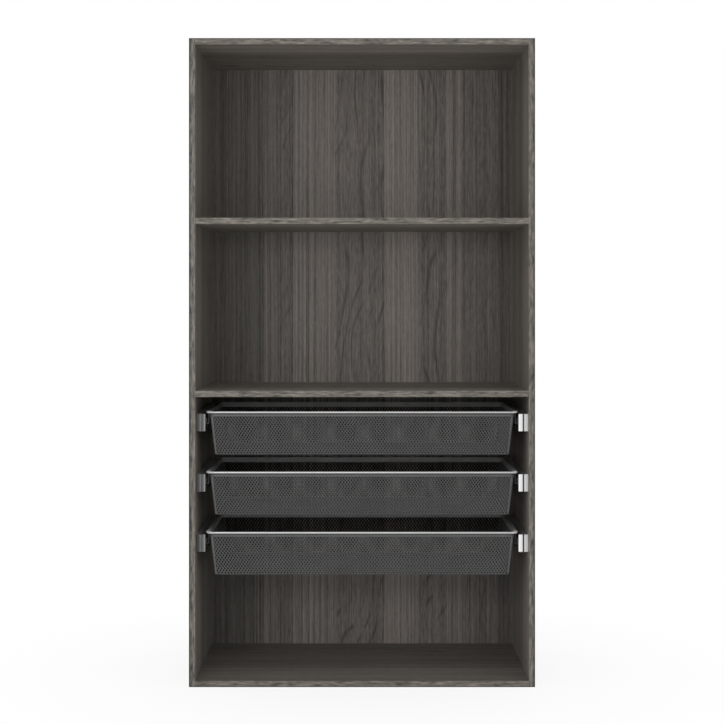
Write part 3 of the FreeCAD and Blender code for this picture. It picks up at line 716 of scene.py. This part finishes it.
def mesh_pan(name, node, *materials):
    """A pan of two layers of crossing strands, with a hem, a band behind the rim and solid corners."""
    basket = bpy.context.scene.basket_mesh
    low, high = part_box(node)
    wall = PanWall(low, high, basket)
    strips = Strips()
    half_sheet = basket.sheet / 2
    layers = ((1, 0, half_sheet), (-1, half_sheet, basket.sheet))
    slant = basket.pitch / basket.row
    count = round(wall.around / basket.pitch)
    for way, outer, inner in layers:
        lean = way * wall.rise * slant
        for number in range(count):
            start = wall.around * number / count
            heights = wall.heights_crossing(start, lean)
            path = [wall.place(start + lean * height, height) for height in heights]
            strips.strand(path, basket.strand, outer, inner)
    floor_strands(strips, wall, basket, slant, layers)
    # The hem stands proud of the strands on both faces, and the band on its inner face
    fold, hem = basket.sheet * 1.5, basket.hem
    face, lining = -basket.sheet * 0.1, basket.sheet * 1.2
    strips.sweep(wall, [
        (face, hem), (face, fold), (fold * 0.3, fold * 0.3), (fold, 0), (hem, 0),
        (hem, lining), (fold, lining), (lining, fold), (lining, hem)])
    seat = wall.rise - basket.band
    band = [(0, wall.rise), (0, seat), (lining, seat), (lining, wall.rise)]
    strips.sweep(wall, band, BAND, (2,))
    for side in range(4):
        strips.corner(wall, side, basket)
    pan = add_object(name, strips.as_mesh(name))
    for material in materials:
        pan.data.materials.append(material)
    return pan


def floor_strands(strips, wall, basket, slant, layers):
    """Crossing strands over the floor, each cut off inside the hem."""
    outline = []
    for distance in wall.breaks:
        point, out = wall.place(distance, 0)
        outline.append((point - Vector((out.x, out.y, 0)) * basket.hem / 2).to_2d())
    down = Vector((0, 0, -1))
    reach = (wall.high.x - wall.low.x + (wall.high.y - wall.low.y) * slant) / 2
    count = math.ceil(reach / basket.pitch)
    middle = (wall.low.y + wall.high.y) / 2
    for way, outer, inner in layers:
        direction = Vector((way * slant, 1))
        for number in range(-count, count + 1):
            point = Vector((number * basket.pitch, middle))
            shares = clipped(outline, point, direction)
            if shares[1] - shares[0] < basket.pitch:
                continue
            ends = [(point + direction * share).to_3d() for share in shares]
            path = [(Vector((end.x, end.y, wall.low.z)), down) for end in ends]
            strips.strand(path, basket.strand, outer, inner)


# Operators, one for each group of like pieces

class WardrobeStage(bpy.types.Operator):
    """Sets the floor, the white surroundings, the two softboxes and the camera"""
    bl_idname = "wardrobe.stage"
    bl_label = "Stage"

    WHITE = (1, 1, 1, 1)
    FLOOR_GREY = (0.9, 0.9, 0.9, 1)
    FLOOR_EXTENT = 40
    SOFTBOX_SIDE = -0.7
    SOFTBOX_AWAY = 3.8
    SOFTBOX_ASPECT = 0.3
    AIM_HEIGHT = 0.95

    def execute(self, context):
        studio = context.scene.studio_setup
        context.scene.view_settings.view_transform = "Standard"
        self.surroundings(context, studio)
        self.floor()
        self.softbox(studio, studio.key_height, studio.key)
        self.softbox(studio, studio.fill_height, studio.fill)
        self.camera(context, studio)
        return {"FINISHED"}

    def seen_directly(self, shader):
        """1 where the eye, a reflection or a clear pane looks at it, and 0 where it lights something."""
        path = shader.node("ShaderNodeLightPath")
        seen = path["Is Camera Ray"] + path["Is Glossy Ray"] + path["Is Transmission Ray"]
        return seen.smaller(1)

    def surroundings(self, context, studio):
        world = bpy.data.worlds.new("studio")
        context.scene.world = world
        shader = Shader(world)
        light, white = [
            shader.node("ShaderNodeBackground", sockets={"Color": self.WHITE, "Strength": strength})
            for strength in (studio.sky, 1)]
        seen = self.seen_directly(shader)
        both = shader.node("ShaderNodeMixShader", sockets={0: seen, 1: light, 2: white})
        shader.node("ShaderNodeOutputWorld", sockets={"Surface": both})

    def floor(self):
        """A pale floor that keeps the shadow near the carcass and turns white further out."""
        reach = self.FLOOR_EXTENT
        mesh = bpy.data.meshes.new("studio_floor")
        corners = [(-reach, -reach, 0), (reach, -reach, 0), (reach, reach, 0), (-reach, reach, 0)]
        mesh.from_pydata(corners, [], [(0, 1, 2, 3)])
        floor = add_object("studio_floor", mesh)
        shader = new_shader("studio_floor")
        axes = shader.axes()
        away = (axes["X"] * axes["X"] + axes["Y"] * axes["Y"]) ** 0.5
        whiteness = away.above(0.3, 1.4) * 0.15 + 0.85
        matt = shader.node("ShaderNodeBsdfDiffuse", sockets={"Color": self.FLOOR_GREY})
        white = shader.node("ShaderNodeEmission", sockets={"Color": self.WHITE, "Strength": 1})
        share = self.seen_directly(shader) * whiteness
        both = shader.node("ShaderNodeMixShader", sockets={0: share, 1: matt, 2: white})
        shader.node("ShaderNodeOutputMaterial", sockets={"Surface": both})
        mesh.materials.append(shader.owner)

    def softbox(self, studio, height, strength):
        """A wide lamp in front; strength is its share of the light that shows a colour as written."""
        place = Vector((self.SOFTBOX_SIDE, FRONT - self.SOFTBOX_AWAY, height))
        aim = Vector((0, FRONT, self.AIM_HEIGHT))
        light = bpy.data.lights.new("softbox", "AREA")
        light.shape = "RECTANGLE"
        light.size = studio.softbox
        light.size_y = studio.softbox * self.SOFTBOX_ASPECT
        light.energy = strength * math.pi ** 2 * (aim - place).length_squared
        lamp = add_object("softbox", light)
        lamp.location = place
        lamp.rotation_euler = (aim - place).to_track_quat("-Z", "Y").to_euler()

    def camera(self, context, studio):
        lens = bpy.data.cameras.new("camera")
        lens.lens = lens.sensor_width * studio.distance / studio.view_width
        lens.shift_y = studio.drop
        eye = add_object("camera", lens)
        eye.location = (0, FRONT - studio.distance, studio.eye)
        eye.rotation_euler = (math.pi / 2, 0, 0)
        context.scene.camera = eye


class WardrobeBoards(bpy.types.Operator):
    """Covers the side panels, levels and back panel in oak foil"""
    bl_idname = "wardrobe.boards"
    bl_label = "Boards"

    def execute(self, context):
        oak = context.scene.oak_foil
        core, backing = list(oak.core), list(oak.backing)
        front_end = oak.front_strip / DEPTH
        # Strips from the front to the rear: start as a share of the depth, tone, figure, grey cast
        # The tones rise towards the rear, and differ between ceilings, shelf and floor, as painted light
        # that makes up for the shade deep in the carcass and for how each face is lit
        upright = [
            (0, 0.92, 0, 0), (0.15, 1.02, 0, 0), (front_end, 0.8, 0.4, 1),
            (0.52, 1.15, 0, 0.8), (0.68, 1.2, 1, 0.6), (0.84, 1.45, 0, 0.8)]
        ceiling = [
            (0, 0.78, 0, 0), (0.08, 1.0, 0, 0), (0.18, 1.18, 0, 0), (front_end, 0.8, 0.4, 0.6),
            (0.52, 1.1, 0, 0.8), (0.68, 1.3, 1, 0.6), (0.84, 1.5, 0, 0.6)]
        shelf = [
            (0, 0.6, 0, 0.4), (front_end, 0.62, 0.4, 0.6),
            (0.52, 0.95, 0, 0.8), (0.68, 1.2, 1, 0.6), (0.84, 1.6, 0, 0.8)]
        floor = [
            (0, 0.4, 0, 0.4), (0.1, 0.55, 0, 0.4), (0.2, 0.7, 0, 0.4), (front_end, 0.5, 0.4, 0.6),
            (0.52, 0.68, 0, 0.8), (0.68, 0.76, 1, 0.6), (0.84, 0.8, 0, 0.8)]
        covers = (
            ("oak_upright", "Z", upright, UPRIGHTS),
            ("oak_ceiling", "X", ceiling, ("top_panel", "upper_shelf")),
            ("oak_shelf", "X", shelf, ("lower_shelf",)),
            ("oak_floor", "X", floor, ("bottom_panel",)))
        for name, along, strips, boards in covers:
            dress(oak_foil(name, along, "Y", strips, FRONT, DEPTH, core), *boards)
        # Strips of the back panel from left to right: left edge in metres, tone, figure, grey cast
        # The darkest strips at both ends are partly print and partly painted shade beside the side
        # panels
        sawn = [
            (-0.5, 0.05, 0.2, 1), (-0.43, 0.16, 0, 1), (-0.335, 0.42, 0, 0.5), (-0.305, 0.6, 0, 0),
            (-0.276, 0.42, 0.6, 0), (-0.225, 0.8, 0, 0), (-0.084, 0.58, 1, 0), (0.067, 0.98, 0, 0),
            (0.18, 0.64, 1, 0), (0.273, 0.78, 0, 0), (0.32, 0.52, 0.5, 0), (0.43, 0.14, 0, 1)]
        back = [(edge / WIDTH + 0.5, *values) for edge, *values in sawn]
        dress(oak_foil("oak_back", "Z", "X", back, -WIDTH / 2, WIDTH, backing), "back_panel")
        return {"FINISHED"}


class WardrobeEdging(bpy.types.Operator):
    """Gives the front edging strips their print and eases their corners"""
    bl_idname = "wardrobe.edging"
    bl_label = "Edging"

    def execute(self, context):
        sides = [f"{side}_side_edging" for side in SIDES]
        levels = [f"{level}_edging" for level in LEVELS]
        dress(edging_foil("edging_upright", "Z", "X"), *sides)
        dress(edging_foil("edging_level", "X", "Z"), *levels)
        ease(context.scene.oak_foil.easing, *sides, *levels)
        return {"FINISHED"}


class WardrobeFixings(bpy.types.Operator):
    """Finishes the cam locks, cam bolts, dowels and runner screws"""
    bl_idname = "wardrobe.fixings"
    bl_label = "Fixings"

    def execute(self, context):
        metal = context.scene.metal_finish
        dress(cast_metal("zinc_casting", metal.casting), "cam_locks")
        dress(rolled_metal("plated_steel", metal.zinc, "X", 0.34), "cam_bolts", "runner_screws")
        dress(turned_beech("beech", metal.beech), "wooden_dowels")
        return {"FINISHED"}


class WardrobeRunners(bpy.types.Operator):
    """Finishes the spacer tubes, the three rails of each slide and the ball cages"""
    bl_idname = "wardrobe.runners"
    bl_label = "Runners"

    def execute(self, context):
        metal = context.scene.metal_finish
        rails = [
            f"{basket}_{side}_{rail}_rail" for basket in BASKETS for side in SIDES for rail in RAILS]
        spacers = [f"{basket}_runner_spacers" for basket in BASKETS]
        cages = [f"{basket}_{kind}_ball_cages" for basket in BASKETS for kind in ("outer", "inner")]
        dress(rolled_metal("rail_zinc", metal.zinc, "Y", 0.32), *rails)
        dress(rolled_metal("spacer_anodised", metal.anodised, "Y", 0.42, 0.06), *spacers)
        dress(rolled_metal("cage_steel", metal.cage, "Y", 0.28), *cages)
        return {"FINISHED"}


class WardrobeCaps(bpy.types.Operator):
    """Finishes the closing caps at the front of the runners"""
    bl_idname = "wardrobe.caps"
    bl_label = "Runner caps"

    def execute(self, context):
        metal = context.scene.metal_finish
        slides = [f"{basket}_slide_caps" for basket in BASKETS]
        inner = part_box("top_right_inner_rail")[0].x
        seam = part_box(slides[0])[1].x
        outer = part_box("spacer_caps")[1].x
        spacer = moulded_cap("spacer_cap", metal.left_spacer_painted_shade, metal.right_spacer_painted_light, seam, outer, seam)
        slide = moulded_cap("slide_cap", metal.left_slide_painted_shade, metal.right_slide_painted_light, inner, seam, seam)
        dress(spacer, "spacer_caps")
        dress(slide, *slides)
        ease(metal.cap_easing, "spacer_caps", *slides)
        return {"FINISHED"}


class WardrobeRims(bpy.types.Operator):
    """Finishes the basket rims and the hooks that carry them"""
    bl_idname = "wardrobe.rims"
    bl_label = "Rims and hooks"

    def execute(self, context):
        hook = rolled_metal("hook_steel", context.scene.metal_finish.hook, "Z", 0.45, 0.2)
        for basket in BASKETS:
            rim = f"{basket}_basket_rim"
            low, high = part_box(rim)
            dress(rim_finish(f"{basket}_rim", low, high), rim)
            dress(hook, f"{basket}_basket_hooks")
        return {"FINISHED"}


class WardrobeMesh(bpy.types.Operator):
    """Builds the three mesh baskets strand by strand"""
    bl_idname = "wardrobe.mesh"
    bl_label = "Mesh baskets"

    def execute(self, context):
        basket_mesh = context.scene.basket_mesh
        # The inside finish is painted shade and the corner finish a painted highlight
        coat = powder_coat("mesh_coat", basket_mesh.coat)
        lining = powder_coat("mesh_inside_shade", basket_mesh.lining, 0)
        corner_highlight = powder_coat("mesh_corner_highlight", basket_mesh.corner_highlight)
        fold = powder_coat("mesh_fold", basket_mesh.fold)
        band = powder_coat("mesh_band", [c * 0.92 for c in basket_mesh.rim])
        for basket in BASKETS:
            node = f"{basket}_basket_mesh"
            pan = mesh_pan(f"{basket}_mesh_pan", node, coat, lining, corner_highlight, fold, band)
            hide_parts(node)
            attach(pan, f"{basket}_basket")
        return {"FINISHED"}


class WardrobePanel(bpy.types.Panel):
    """Lists the steps and the sizes and colours that they read"""
    bl_idname = "VIEW3D_PT_wardrobe"
    bl_label = "Wardrobe frame"
    bl_space_type = "VIEW_3D"
    bl_region_type = "UI"
    bl_category = "Wardrobe"

    def draw(self, context):
        for step in STEPS:
            self.layout.operator(step.bl_idname)
        for name, group in GROUPS.items():
            box = self.layout.box()
            box.label(text=group.__name__)
            settings = getattr(context.scene, name)
            for key in group.__annotations__:
                box.prop(settings, key)


GROUPS = {
    "oak_foil": OakFoil,
    "metal_finish": MetalFinish,
    "basket_mesh": BasketMesh,
    "studio_setup": StudioSetup,
}
STEPS = (
    WardrobeStage, WardrobeBoards, WardrobeEdging, WardrobeFixings,
    WardrobeRunners, WardrobeCaps, WardrobeRims, WardrobeMesh)


def register():
    for kind in (*GROUPS.values(), *STEPS, WardrobePanel):
        bpy.utils.register_class(kind)
    for name, group in GROUPS.items():
        setattr(bpy.types.Scene, name, PointerProperty(type=group))


def unregister():
    for name in GROUPS:
        delattr(bpy.types.Scene, name)
    for kind in reversed((*GROUPS.values(), *STEPS, WardrobePanel)):
        bpy.utils.unregister_class(kind)


def main():
    register()
    bpy.ops.wardrobe.stage()
    bpy.ops.wardrobe.boards()
    bpy.ops.wardrobe.edging()
    bpy.ops.wardrobe.fixings()
    bpy.ops.wardrobe.runners()
    bpy.ops.wardrobe.caps()
    bpy.ops.wardrobe.rims()
    bpy.ops.wardrobe.mesh()


if __name__ == "__main__":
    main()
